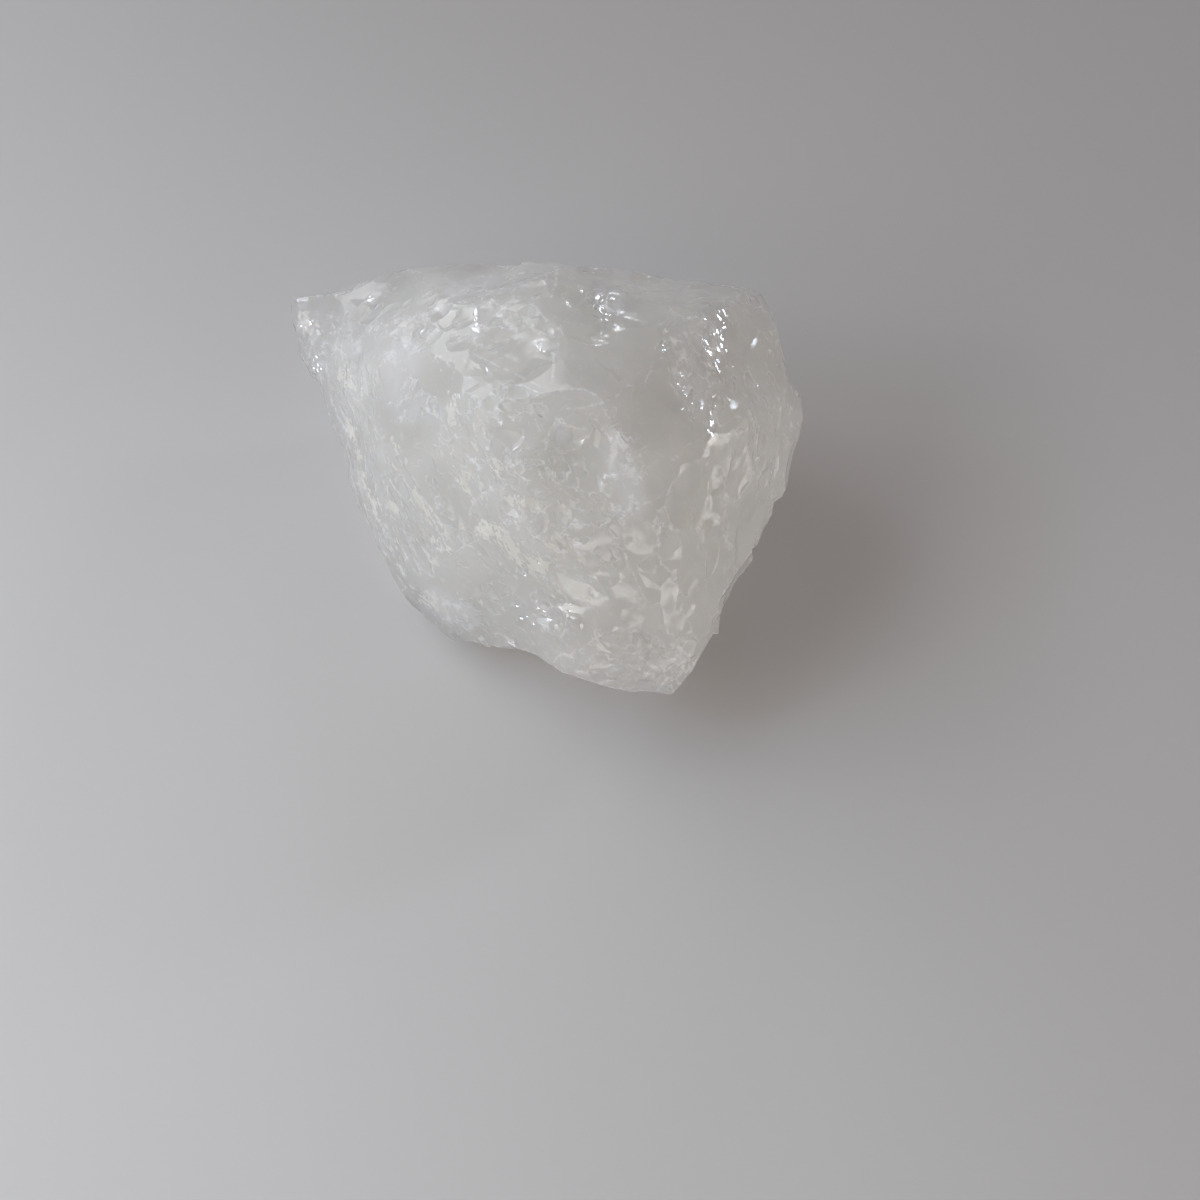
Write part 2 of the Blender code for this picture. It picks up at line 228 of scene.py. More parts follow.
# What is painted on the skin, as strokes: half width, strength, then places along the stroke
PAINT = {
    # veil: white veils inside the stone, and on some facets a whiter tone that is painted
    # reflection of the window lamp
    "veil_and_reflection": [
        (9, 0.8, [(342, 354), (381, 331), (437, 311), (475, 292), (505, 279)]),
        (13, 0.8, [(462, 296), (487, 285), (500, 280)]),
        (9, 0.7, [(345, 352), (360, 343)]),
        (10, 0.7, [(296, 312), (310, 336), (322, 372)]),
        (11, 0.8, [(612, 440), (630, 470), (634, 508)]),
        (20, 0.5, [(622, 460), (625, 500)]),
        (13, 0.75, [(676, 350), (690, 392), (706, 415)]),
        (11, 0.8, [(697, 322), (712, 345), (716, 362)]),
        (12, 1.0, [(432, 600), (450, 611), (464, 618)]),
        (14, 0.45, [(570, 658), (630, 660), (680, 660)]),
        (6, 0.6, [(537, 621), (562, 625)]),
        (5, 0.5, [(707, 463), (722, 485), (727, 547)]),
        (22, 0.35, [(450, 460), (500, 500), (560, 530), (590, 570)]),
        (20, 0.3, [(345, 420), (375, 500), (405, 575)]),
        (9, 0.35, [(735, 440), (760, 410), (785, 400)]),
        (26, 0.3, [(480, 360), (430, 340), (350, 360)]),
    ],
    "crust": [
        (7, 0.9, [(482, 530), (497, 533), (512, 548), (525, 560), (540, 566)]),
        (5, 0.8, [(548, 540), (560, 548)]),
        (3.5, 0.8, [(572, 543), (582, 560)]),
        (5, 0.8, [(512, 498), (524, 504), (538, 506)]),
        (3.5, 0.9, [(415, 492), (426, 508), (436, 522), (447, 537)]),
        (5, 0.8, [(464, 472), (468, 488)]),
        (7, 0.9, [(344, 376), (350, 384)]),
        (5, 0.9, [(450, 410), (454, 422)]),
        (3, 0.8, [(349, 422), (354, 440), (358, 459)]),
        (2.5, 0.8, [(362, 474), (372, 500), (378, 520)]),
        (3, 0.8, [(393, 440), (404, 462)]),
        (4, 0.8, [(590, 599), (600, 593)]),
        (3, 0.7, [(597, 634), (598, 640)]),
        (4, 0.6, [(433, 540), (449, 551)]),
        (4, 0.5, [(425, 556), (438, 566)]),
        (8, 0.45, [(428, 597), (448, 609), (462, 618)]),
        (5, 0.5, [(494, 462), (500, 470)]),
        (5, 0.5, [(678, 678), (690, 664)]),
        (4, 0.5, [(455, 400), (458, 412)]),
    ],
    # painted sheen: a bluish-white tone painted where facets mirror the window lamp, a painted
    # reflection
    "painted_sheen": [
        (17, 0.85, [(403, 360), (399, 382), (406, 406)]),
        (9, 0.7, [(426, 404), (434, 414)]),
        (8, 0.7, [(603, 290), (604, 318)]),
        (9, 0.5, [(615, 292), (614, 306)]),
        (15, 0.6, [(694, 335), (700, 385)]),
        (9, 0.9, [(711, 320), (718, 342), (712, 362)]),
        (12, 0.5, [(680, 380), (696, 400)]),
        (6, 0.9, [(561, 427), (562, 436)]),
        (7, 0.8, [(477, 308), (477, 330)]),
        (16, 0.45, [(530, 606), (560, 622)]),
        (14, 0.6, [(434, 600), (452, 611), (464, 617)]),
        (10, 0.5, [(455, 290), (490, 282)]),
        (8, 0.5, [(313, 362), (320, 380)]),
        (13, 0.45, [(612, 450), (630, 480), (636, 505)]),
    ],
    "flash": [
        (13, 1.0, [(712, 310), (720, 338), (712, 364)]),
        (10, 1.0, [(602, 288), (604, 322)]),
        (5, 0.9, [(712, 402), (711, 440)]),
        (5, 0.8, [(663, 330), (667, 352)]),
        (9, 0.5, [(394, 412), (414, 392)]),
        (6, 0.6, [(428, 408), (434, 416)]),
        (6, 0.8, [(479, 307), (478, 328)]),
        (6, 0.8, [(539, 341), (546, 353)]),
        (18, 0.7, [(532, 606), (566, 620)]),
        (8, 0.8, [(304, 316), (311, 330)]),
        (8, 0.8, [(313, 360), (320, 386)]),
        (6, 0.7, [(561, 426), (562, 437)]),
        (6, 0.7, [(590, 589), (595, 597)]),
        (7, 0.7, [(369, 298), (376, 302)]),
        (6, 0.8, [(583, 268), (606, 273)]),
        (10, 0.5, [(440, 310), (500, 285)]),
        (16, 0.4, [(500, 465), (520, 500)]),
    ],
    "clear": [
        (52, 1.0, [(600, 340), (640, 360), (650, 400)]),
        (34, 0.8, [(520, 350), (550, 380)]),
        (45, 0.8, [(690, 500), (690, 580), (670, 610)]),
        (20, 0.8, [(450, 515), (435, 485)]),
        (30, 0.7, [(620, 560), (640, 600)]),
        (22, 0.7, [(345, 305), (400, 290)]),
        (20, 0.7, [(560, 455), (590, 490)]),
    ],
    # rim highlight: thin light lines painted along the rims of scars and steps, where their edges
    # catch light
    "rim_highlight": [
        (1.2, 0.55, [(473, 354), (490, 362), (515, 374), (542, 387), (551, 387)]),
        (1.2, 0.8, [(551, 387), (553, 372), (554, 355), (549, 350)]),
        (1.3, 0.9, [(557, 269), (556, 282), (551, 297)]),
        (1.5, 0.7, [(504, 321), (511, 326), (521, 328), (533, 325)]),
        (1.2, 0.7, [(535, 341), (540, 348), (549, 354)]),
        (1.3, 0.7, [(602, 429), (618, 447), (632, 466), (641, 478)]),
        (1.2, 0.5, [(415, 492), (430, 507), (441, 523), (448, 539)]),
        (1.1, 0.8, [(709, 404), (712, 420), (711, 438)]),
        (1.1, 0.5, [(786, 388), (781, 410), (776, 440)]),
        (1.2, 0.8, [(330, 396), (338, 416), (347, 432)]),
        (1.1, 0.7, [(362, 474), (366, 492), (376, 516)]),
        (1.1, 0.6, [(380, 520), (389, 545), (398, 565)]),
        (1.3, 0.9, [(658, 690), (671, 673), (690, 655)]),
        (1.1, 0.6, [(668, 665), (676, 672), (692, 671)]),
        (1.0, 0.5, [(572, 543), (579, 556), (586, 566)]),
        (1.0, 0.5, [(640, 537), (650, 544), (657, 552)]),
        (1.1, 0.5, [(720, 470), (727, 500), (722, 530)]),
        (1.0, 0.6, [(534, 418), (540, 431)]),
        (1.1, 0.6, [(664, 330), (664, 345), (668, 352)]),
        (1.0, 0.5, [(405, 410), (400, 425), (402, 440)]),
    ],
    "soot": [
        (1.6, 1.0, [(539, 415), (542, 417)]),
        (1.0, 0.8, [(544, 413), (545, 413)]),
        (1.3, 0.8, [(692, 390), (691, 396)]),
        (1.0, 0.7, [(695, 393), (696, 394)]),
        (1.2, 0.8, [(766, 466), (767, 471)]),
        (1.6, 0.6, [(769, 478), (770, 479)]),
        (1.2, 0.5, [(448, 622), (452, 626)]),
        (1.2, 0.6, [(393, 582), (391, 586)]),
        (0.8, 0.8, [(453, 420), (454, 420)]),
        (1.0, 0.6, [(420, 334), (424, 341)]),
    ],
}
FINE_PAINT = ("rim_highlight", "soot")

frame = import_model()


# ---------------------------------------------------------------- the drawing


def drawing_place(column, row):
    """The point of the drawing's plane at a column and row."""
    return (
        DRAWING_ORIGIN
        + ACROSS * (column - GRID_MIDDLE[0]) * SQUARE
        + UP * (GRID_MIDDLE[1] - row) * SQUARE
    )


def on_drawing(points):
    """Columns and rows of the drawing for points of the model."""
    sight = points - np.array(EYE)
    across, up = np.array(ACROSS), np.array(UP)
    out = np.cross(across, up)
    far = ((np.array(DRAWING_ORIGIN) - np.array(EYE)) @ out) / (sight @ out)
    drawn = np.array(EYE) + sight * far[:, None] - np.array(DRAWING_ORIGIN)
    return np.stack(
        [
            GRID_MIDDLE[0] + drawn @ across / SQUARE,
            GRID_MIDDLE[1] - drawn @ up / SQUARE,
        ],
        axis=1,
    )


def drawn_way(bearing):
    """The way that a bearing in degrees points in the drawing's plane."""
    turn = math.radians(bearing)
    return ACROSS * math.cos(turn) + UP * math.sin(turn)


# ---------------------------------------------------------------- materials


class Wire:
    """One output of a node. Arithmetic with numbers or other wires adds Math nodes."""

    def __init__(self, socket):
        self.socket = socket

    def node(self, kind, settings=(), inputs=(), output=0):
        """Adds a node to this wire's tree, sets it up, and returns one of its outputs."""
        tree = self.socket.id_data
        made = tree.nodes.new(kind)
        for name, value in dict(settings).items():
            setattr(made, name, value)
        for name, value in dict(inputs).items():
            if isinstance(value, Wire):
                tree.links.new(value.socket, made.inputs[name])
            else:
                made.inputs[name].default_value = value
        return Wire(made.outputs[output])

    def maths(self, operation, *others):
        return self.node(
            "ShaderNodeMath", {"operation": operation}, dict(enumerate((self, *others)))
        )

    def __add__(self, other):
        return self.maths("ADD", other)

    __radd__ = __add__

    def __sub__(self, other):
        return self.maths("SUBTRACT", other)

    def __rsub__(self, other):
        return self * -1 + other

    def __mul__(self, other):
        return self.maths("MULTIPLY", other)

    __rmul__ = __mul__

    def ramp(self, low, high):
        """0 to 1 as this wire goes from low to high, with eased ends."""
        return self.node(
            "ShaderNodeMapRange",
            {"interpolation_type": "SMOOTHSTEP"},
            {"Value": self, "From Min": low, "From Max": high},
        )

    def noise(self, size, detail, roughness, distortion=0.0, output=0):
        """Noise whose lumps are about this many metres across."""
        return self.node(
            "ShaderNodeTexNoise",
            {},
            {
                "Vector": self,
                "Scale": 1 / size,
                "Detail": detail,
                "Roughness": roughness,
                "Distortion": distortion,
            },
            output,
        )


def blend(share, one, other):
    """One colour that goes over to the other as share goes from 0 to 1."""
    return share.node("ShaderNodeMix", {"data_type": "RGBA"}, {0: share, 6: one, 7: other}, 2)


def new_material(name):
    material = bpy.data.materials.new(name)
    material.use_nodes = True
    tree = material.node_tree
    tree.nodes.clear()
    place = Wire(tree.nodes.new("ShaderNodeTexCoord").outputs["Object"])
    return material, place


def finish_of(material, surface, volume=None):
    out = material.node_tree.nodes.new("ShaderNodeOutputMaterial")
    material.node_tree.links.new(surface.socket, out.inputs["Surface"])
    if volume is not None:
        material.node_tree.links.new(volume.socket, out.inputs["Volume"])


def painted(place, name):
    return place.node("ShaderNodeAttribute", {"attribute_name": name}, {}, 2)


def drawn_out(place, slim, bearing, lean):
    """Places for a pattern that is this many times longer along a bearing and lean."""
    rise = math.radians(lean)
    way = drawn_way(bearing) * math.cos(rise) + ACROSS.cross(UP) * math.sin(rise)
    return place.node(
        "ShaderNodeMapping",
        {"vector_type": "TEXTURE"},
        {
            "Vector": place,
            "Rotation": way.to_track_quat("X", "Z").to_euler(),
            "Scale": (slim, 1, 1),
        },
    )


def hairlines(place, size, bearing, lean, slim, fine):
    """Thin lines, where a smooth noise that is drawn out one way passes its middle."""
    lie = drawn_out(place, slim, bearing, lean).noise(size, 1.0, 0.5, 0.2)
    return (1 - (lie - 0.5).maths("ABSOLUTE") * fine).ramp(0.0, 1.0)


def slivers(place, size, bearing, lean, slim):
    """A number from 0 to 1 for each cell of a pattern of slim angular flakes."""
    laid = drawn_out(place, slim, bearing, lean)
    bent = laid.node(
        "ShaderNodeVectorMath",
        {"operation": "MULTIPLY_ADD"},
        {0: laid.noise(size * 1.5, 2, 0.6, output=1), 1: [size * 0.9] * 3, 2: laid},
    )
    cell = laid.node("ShaderNodeTexVoronoi", {}, {"Vector": bent, "Scale": 1 / size}, 1)
    return cell.node("ShaderNodeSeparateColor", {}, {"Color": cell})


def clear_quartz():
    """Rock crystal that is milky nearly throughout.

    It has white veils and lines, pale crust in its hollows, soot flecks and glassy flashes.
    It also has painted highlights on its ridges and rims, painted glints, painted sheen and
    reflection where facets mirror the window lamp, and painted shade in its hollows.
    """
    material, place = new_material("clear quartz")
    veil_and_reflection, crust, clear_zone = (painted(place, k) for k in ("veil_and_reflection", "crust", "clear"))
    rim_highlight, soot = painted(place, "rim_highlight"), painted(place, "soot")
    painted_sheen, flash = painted(place, "painted_sheen"), painted(place, "flash")
    # edge is a painted highlight along sharp ridges; groove, in hollows, is painted shade
    edge = painted(place, "edge").ramp(0.4, 1.0)
    groove = painted(place, "groove").ramp(0.4, 1.0)
    cloud = place.noise(9 * MM, 2, 0.5).ramp(0.36, 0.66)
    patches = place.noise(5 * MM, 3, 0.6).ramp(0.44, 0.62)
    breakup = place.noise(1.3 * MM, 4, 0.65)
    coarse = place.noise(2.6 * MM, 5, 0.7)
    # The finest noise lays out both the painted glints and the soot spots
    glint_and_soot_noise = place.noise(0.35 * MM, 2, 0.6)

    # Healed cracks and frost, which whiten the milk; the veil strokes in the frost are partly
    # real veils and partly painted reflection
    lines = (
        hairlines(place, 2.2 * MM, -55, 20, 6, 60) * breakup.ramp(0.48, 0.56)
        + hairlines(place, 1.2 * MM, -45, -25, 5, 40) * patches * breakup.ramp(0.46, 0.54)
        + hairlines(place, 3.0 * MM, 25, 10, 4, 75) * coarse.ramp(0.50, 0.56) * 0.9
    )
    frost = (coarse - 0.60 + veil_and_reflection * 0.16).ramp(0.0, 0.14) * 0.55 + veil_and_reflection * 0.15
    # Painted glints: tiny white dots that stand in for sparkle off small facets
    painted_glints = glint_and_soot_noise.ramp(0.66, 0.72) * breakup.ramp(0.50, 0.58)
    # white gathers the real veils, cracks and frost together with painted highlights on ridges
    # and rims and painted glints
    white = (
        frost
        + lines * (0.30 + veil_and_reflection * 0.3) * (1 - clear_zone * 0.6) * (1 - painted_sheen * 0.8)
        + painted_glints * 0.5 * (1 - clear_zone * 0.5)
        + cloud * 0.08 * (1 - clear_zone)
        + edge * breakup.ramp(0.40, 0.56) * 0.6
        + rim_highlight * breakup.ramp(0.40, 0.56) * 0.7
    ).maths("MINIMUM", 1.0)
    # Less milk in the grooves lets the hollows show darker, as painted shade
    milk = MILK + cloud * 0.06 + white * 0.26 - clear_zone * 0.05 - groove * 0.06 + painted_sheen * 0.10
    # Painted sheen raises the milk and turns the tone bluish, standing in for the window lamp's
    # reflection
    pale = blend(painted_sheen * 0.9, blend(white, WARM_MILK, WHITE_MILK), PAINTED_SHEEN_BLUE)

    # Crust as slim angular flakes, large and small, where it is loose enough to show
    loose = (
        crust * 0.42 + veil_and_reflection * 0.04 + (patches - 0.5) * 0.05 * (1 - clear_zone) - painted_sheen * 0.15
    )
    large = slivers(place, 0.75 * MM, -42, 10, 3.0) + loose - 1.0
    small = slivers(place, 0.4 * MM, -55, -20, 2.6) + loose * 1.2 - 1.0
    crusted = large.ramp(0.0, 0.02).maths("MAXIMUM", small.ramp(0.0, 0.02))
    smut = soot * glint_and_soot_noise.ramp(0.38, 0.5) * 0.8

    grain = place.node(
        "ShaderNodeBump",
        {},
        {"Strength": 0.6, "Distance": 0.03 * MM, "Height": place.noise(0.7 * MM, 4, 0.6)},
    )
    roughness = 0.03 + cloud * 0.02 + white * 0.06
    clear = place.node(
        "ShaderNodeBsdfPrincipled",
        {},
        {
            "Base Color": (1.0, 0.995, 0.99, 1),
            "Roughness": roughness,
            "IOR": QUARTZ_IOR,
            "Transmission Weight": 1.0,
            "Normal": grain,
        },
    )
    milky = place.node(
        "ShaderNodeBsdfPrincipled",
        {},
        {
            "Base Color": pale,
            "Roughness": roughness,
            "IOR": QUARTZ_IOR,
            "Specular IOR Level": 0.35,
            "Coat Weight": flash,
            "Coat IOR": 1.85,
            "Coat Roughness": 0.04,
            "Normal": grain,
            "Subsurface Weight": 1.0,
            "Subsurface Radius": WANDER,
            "Subsurface Scale": 1.0,
        },
    )
    solid = place.node(
        "ShaderNodeBsdfPrincipled",
        {},
        {"Base Color": blend(smut, CHALK, SOOT), "Roughness": 0.5, "Normal": grain},
    )
    crystal = place.node("ShaderNodeMixShader", {}, {0: milk, 1: clear, 2: milky})
    dirty = (crusted * 0.7).maths("MAXIMUM", smut)
    whole = place.node("ShaderNodeMixShader", {}, {0: dirty, 1: crystal, 2: solid})
    absorbed = place.node(
        "ShaderNodeVolumeAbsorption", {}, {"Color": SMOKE, "Density": SMOKE_DENSITY}
    )
    finish_of(material, whole, absorbed)
    return material


def table_finish():
    material, place = new_material("pale table")
    matt = {"Base Color": (0.69, 0.692, 0.705, 1), "Roughness": 0.55}
    finish_of(material, place.node("ShaderNodeBsdfPrincipled", {}, matt))
    return material


# ---------------------------------------------------------------- meshes


def only(obj):
    """Selects one object and makes it active."""
    if bpy.context.mode != "OBJECT":
        bpy.ops.object.mode_set(mode="OBJECT")
    bpy.ops.object.select_all(action="DESELECT")
    obj.select_set(True)
    bpy.context.view_layer.objects.active = obj


def apply_modifier(obj, name):
    only(obj)
    bpy.ops.object.modifier_apply(modifier=name)


def read_points(obj):
    points = np.empty(len(obj.data.vertices) * 3, np.float32)
    obj.data.vertices.foreach_get("co", points)
    return points.reshape(-1, 3).astype(float)


def write_points(obj, points):
    obj.data.vertices.foreach_set("co", points.astype(np.float32).ravel())
    obj.data.update()


def read_ends(mesh):
    """The two corners of each edge."""
    ends = np.empty(len(mesh.edges) * 2, np.int32)
    mesh.edges.foreach_get("vertices", ends)
    return ends.reshape(-1, 2)


def read_faces(mesh, what):
    """Each face's normal or center."""
    values = np.empty(len(mesh.polygons) * 3)
    mesh.polygons.foreach_get(what, values)
    return values.reshape(-1, 3)


def edge_turns(mesh):
    """The edges between two faces, their faces, and the angle there in degrees."""
    normals = read_faces(mesh, "normal")
    loop_edges = np.empty(len(mesh.loops), np.int32)
    mesh.loops.foreach_get("edge_index", loop_edges)
    loop_faces = np.repeat(
        np.arange(len(mesh.polygons)), [p.loop_total for p in mesh.polygons]
    )
    order = np.argsort(loop_edges, kind="stable")
    edges, first, count = np.unique(loop_edges[order], return_index=True, return_counts=True)
    shared = count == 2
    edges, first = edges[shared], first[shared]
    one, other = loop_faces[order][first], loop_faces[order][first + 1]
    turn = np.degrees(np.arccos(np.clip((normals[one] * normals[other]).sum(1), -1, 1)))
    return edges, one, other, turn


def ridge_sharpness(mesh, gentle=5, full=14):
    """For each edge, from 0 on a smooth face to 1 on a ridge."""
    edges, _, _, turn = edge_turns(mesh)
    sharp = np.zeros(len(mesh.edges), np.float32)
    sharp[edges] = np.clip((turn - gentle) / (full - gentle), 0, 1)
    return sharp


class Skin:
    """An object's skin as it is now, for finding places on it."""

    def __init__(self, obj):
        mesh = obj.data
        mesh.calc_loop_triangles()
        corners = np.empty(len(mesh.loop_triangles) * 3, np.int32)
        mesh.loop_triangles.foreach_get("vertices", corners)
        points = read_points(obj)
        triangles = points[corners.reshape(-1, 3)]
        self.areas = np.linalg.norm(
            np.cross(triangles[:, 1] - triangles[:, 0], triangles[:, 2] - triangles[:, 0]),
            axis=1,
        )
        self.tree = BVHTree.FromPolygons(
            points.tolist(), corners.reshape(-1, 3).tolist(), all_triangles=True
        )

    def meet(self, start, way):
        """Where a line first meets the skin from outside, and how far off, or None."""
        place, facing, _, distance = self.tree.ray_cast(start, way)
        return (place, distance) if place is not None and facing.dot(way) < 0 else None

    def facing(self, place, reach):
        """Which way the skin faces around a place, taken over this reach."""
        total = Vector()
        for _, normal, index, _ in self.tree.find_nearest_range(place, reach):
            total += normal * float(self.areas[index])
        return total.normalized()

    def spot(self, column, row):
        """The place on the skin under a place of the drawing, or None."""
        met = self.meet(EYE, (drawing_place(column, row) - EYE).normalized())
        return met and met[0]


# ---------------------------------------------------------------- the stone


def stone_blank():
    """A merged copy of the quartz node's mesh, eased a little between its ridges."""
    stone = bpy.data.objects.new("quartz_stone", frame["nodes"]["quartz"].data.copy())
    bpy.context.scene.collection.objects.link(stone)
    only(stone)
    bpy.ops.object.mode_set(mode="EDIT")
    bpy.ops.mesh.select_all(action="SELECT")
    bpy.ops.mesh.remove_doubles(threshold=1e-6)
    bpy.ops.mesh.normals_make_consistent(inside=False)
    bpy.ops.object.mode_set(mode="OBJECT")
    mesh = stone.data
    if mesh.has_custom_normals:
        bpy.ops.mesh.customdata_custom_splitnormals_clear()
    crease = mesh.attributes.new("crease_edge", "FLOAT", "EDGE")
    crease.data.foreach_set("value", ridge_sharpness(mesh))
    rounding = stone.modifiers.new("round", "SUBSURF")
    rounding.levels = rounding.render_levels = 1
    apply_modifier(stone, "round")
    only(stone)
    bpy.ops.object.mode_set(mode="EDIT")
    bpy.ops.mesh.select_all(action="SELECT")
    bpy.ops.mesh.quads_convert_to_tris()
    bpy.ops.object.mode_set(mode="OBJECT")
    crease = mesh.attributes.get("crease_edge")
    if crease is not None:
        mesh.attributes.remove(crease)
    swell(stone)
    return stone


def swell(stone):
    """Moves the skin a little where the outline asks for it, but for the resting face."""
    points = read_points(stone)
    places = on_drawing(points)
    moved = points.copy()
    for column, row, across, up, reach in SWELLS:
        gap = np.linalg.norm(places - (column, row), axis=1) * SQUARE / (reach * MM)
        share = np.exp(-gap * gap)[:, None]
        moved += share * (np.array(ACROSS) * across + np.array(UP) * up) * MM
    resting = points[:, 2] < 0.3 * MM
    moved[resting, 2] = points[resting, 2]
    moved[:, 2] = np.maximum(moved[:, 2], 0)
    write_points(stone, moved)


def notch_cutters():
    """A prism for each notch, drawn out along the sight line."""
    made = []
    for outline in NOTCHES:
        count = len(outline)
        corners = [
            EYE + (drawing_place(column, row) - EYE) * near
            for near in (0.86, 1.14)
            for column, row in outline
        ]
        faces = [tuple(range(count)), tuple(reversed(range(count, 2 * count)))]
        faces += [
            (i, i + count, (i + 1) % count + count, (i + 1) % count) for i in range(count)
        ]
        first, second, third = corners[:3]
        if (second - first).cross(third - second).dot(first - corners[count]) < 0:
            faces = [tuple(reversed(face)) for face in faces]
        made.append({"corners": np.array(corners), "faces": faces})
    return made


def ball_template(segments, rings):
    """The faces of a round ball and, for each corner, its angle, whether it is on the top
    half, and how far it is from the middle of the underside or top, from 0 to 1."""
    bpy.ops.mesh.primitive_uv_sphere_add(segments=segments, ring_count=rings, radius=1)
    ball = bpy.context.object
    corners = read_points(ball)
    faces = [tuple(p.vertices) for p in ball.data.polygons]
    bpy.data.objects.remove(ball)
    lean = np.arccos(np.clip(-corners[:, 2], -1, 1)) / (math.pi / 2)
    return {
        "out": np.where(lean <= 1.0001, lean, 2 - lean),
        "turn": np.arctan2(corners[:, 1], corners[:, 0]),
        "top": lean > 1.0001,
        "faces": faces,
    }


def punch(
    skin, place, outward, along, size, seed, ripple=0, fine=False, flat=0.0, most=2.2, wavy=0.8
):
    """A closed cutter whose underside is the hollow that a chip leaves, or None off the skin.

    Size is the length and width across its rim and the depth in its middle. Flat is the
    share of the hollow that is level, wavy the share of the depth that its waves have, and
    ripple the height of its ripples in mm. It goes no deeper under the skin than most times
    its depth.
    """
    ball = BALLS[fine]
    out, top = ball["out"], ball["top"]
    length, width, depth = size
    outward = outward.normalized()
    along = (along - outward * along.dot(outward)).normalized()
    beside = outward.cross(along)
    half_long, half_wide = length / 2, width / 2

    # The rim is lobed and toothed, and the hollow waves and ripples
    x = out * CHIP_REACH * np.cos(ball["turn"])
    y = out * CHIP_REACH * np.sin(ball["turn"])
    shift = Vector((seed * 1.37, seed * 0.71, seed * 2.13))
    rim = [Vector((math.cos(a), math.sin(a), 0)) for a in ball["turn"]]
    shape = np.array(
        [1 + 0.4 * noise.noise(a * 1.2 + shift) + 0.2 * noise.noise(a * 3.0 - shift) for a in rim]
    )
    wave = np.array(
        [noise.noise(Vector((a * 1.1, b * 1.1, 0)) + shift) for a, b in zip(x, y)]
    )
    across = x**2 + y**2
    hollow = depth * (np.maximum(across, flat) - flat) / (1 - flat) - depth
    hollow = hollow + wave * depth * wavy
    if ripple:
        struck = np.hypot(x - BLOW[0], (y - BLOW[1]) * 0.8)
        faded = np.clip((struck - 0.6) * 1.5, 0, 1)
        hollow = hollow + ripple * MM * np.sin(struck * 17 + wave * 2.0) * faded

    # How high the skin stands at each corner, seen along the chip's own facing
    foot = (
        np.array(place)
        + np.outer(x * shape * half_long, np.array(along))
        + np.outer(y * shape * half_wide, np.array(beside))
    )
    level = np.full(len(foot), NOWHERE)
    for i, corner in enumerate(foot):
        met = skin.meet(Vector(corner) + outward * FAR_OUT, -outward)
        if met:
            level[i] = FAR_OUT - met[1]
    known = level > NOWHERE
    middle = level[known & (out < 0.35) & ~top]
    if not len(middle) or abs(np.median(middle)) > 0.8 * MM + depth:
        return None
    inner = level[known & (out < 0.6) & ~top]
    if np.ptp(inner) > 0.7 * half_wide + 0.5 * MM:
        return None

    # It keeps off other parts of the skin, and its lip always comes out of the skin
    hollow = np.maximum(hollow, level - most * depth)
    elsewhere = level > 0.4 * half_wide + 0.6 * MM
    hollow = np.where(elsewhere, np.maximum(hollow, level + SIDE_CLEARANCE), hollow)
    lip = np.clip((out - 0.72) / 0.25, 0, 1)
    hollow = hollow + np.maximum(level + LIP_CLEARANCE - hollow, 0) * lip * known
    roof = max(hollow[~top].max(), level.max()) + 1 * MM
    height = np.where(top, roof + half_wide * (1.02 - out), hollow)
    return {"corners": foot + np.outer(height, np.array(outward)), "faces": ball["faces"]}


def cut_away(stone, punches):
    """Takes the punches out of the stone, and drops any crumb that comes loose."""
    cutters = bpy.data.collections.new("punches")
    for cutter in punches:
        if cutter is None:
            continue
        mesh = bpy.data.meshes.new("punch")
        mesh.from_pydata(cutter["corners"].tolist(), [], cutter["faces"])
        cutters.objects.link(bpy.data.objects.new("punch", mesh))
    cut = stone.modifiers.new("chip", "BOOLEAN")
    cut.operation = "DIFFERENCE"
    cut.solver = "MANIFOLD"
    cut.operand_type = "COLLECTION"
    cut.collection = cutters
    apply_modifier(stone, "chip")
    for cutter in list(cutters.objects):
        bpy.data.meshes.remove(cutter.data)
    bpy.data.collections.remove(cutters)
    only(stone)
    stone.data.vertices.foreach_set("select", np.zeros(len(stone.data.vertices), bool))
    stone.data.vertices[int(read_points(stone)[:, 0].argmax())].select = True
    bpy.ops.object.mode_set(mode="EDIT")
    bpy.ops.mesh.select_mode(type="VERT")
    bpy.ops.mesh.select_linked()
    bpy.ops.mesh.select_all(action="INVERT")
    bpy.ops.mesh.delete(type="VERT")
    bpy.ops.object.mode_set(mode="OBJECT")


def random_size(rng, sizes):
    """A length between two in mm, with small ones more likely."""
    return float(np.exp(rng.uniform(np.log(sizes[0]), np.log(sizes[1])))) * MM


def turned_to_mirror(place, outward, lamp_at, most):
    """This facing, turned by at most so many degrees to mirror a lamp along the sight line."""
    to_lamp, to_eye = LAMPS[lamp_at] - place, EYE - place
    mirror = (to_lamp.normalized() + to_eye.normalized()).normalized()
    needed = math.degrees(outward.angle(mirror))
    return outward.slerp(mirror, min(1, most / max(needed, 0.1)))


def by_mirror(column, row):
    """Whether a place of the drawing lies in a scar that mirrors a lamp."""
    return any(
        lamp_at and math.hypot(column - c, row - r) * SQUARE < width * MM * 0.6
        for c, r, _, width, _, _, _, lamp_at, _ in SCARS
    )


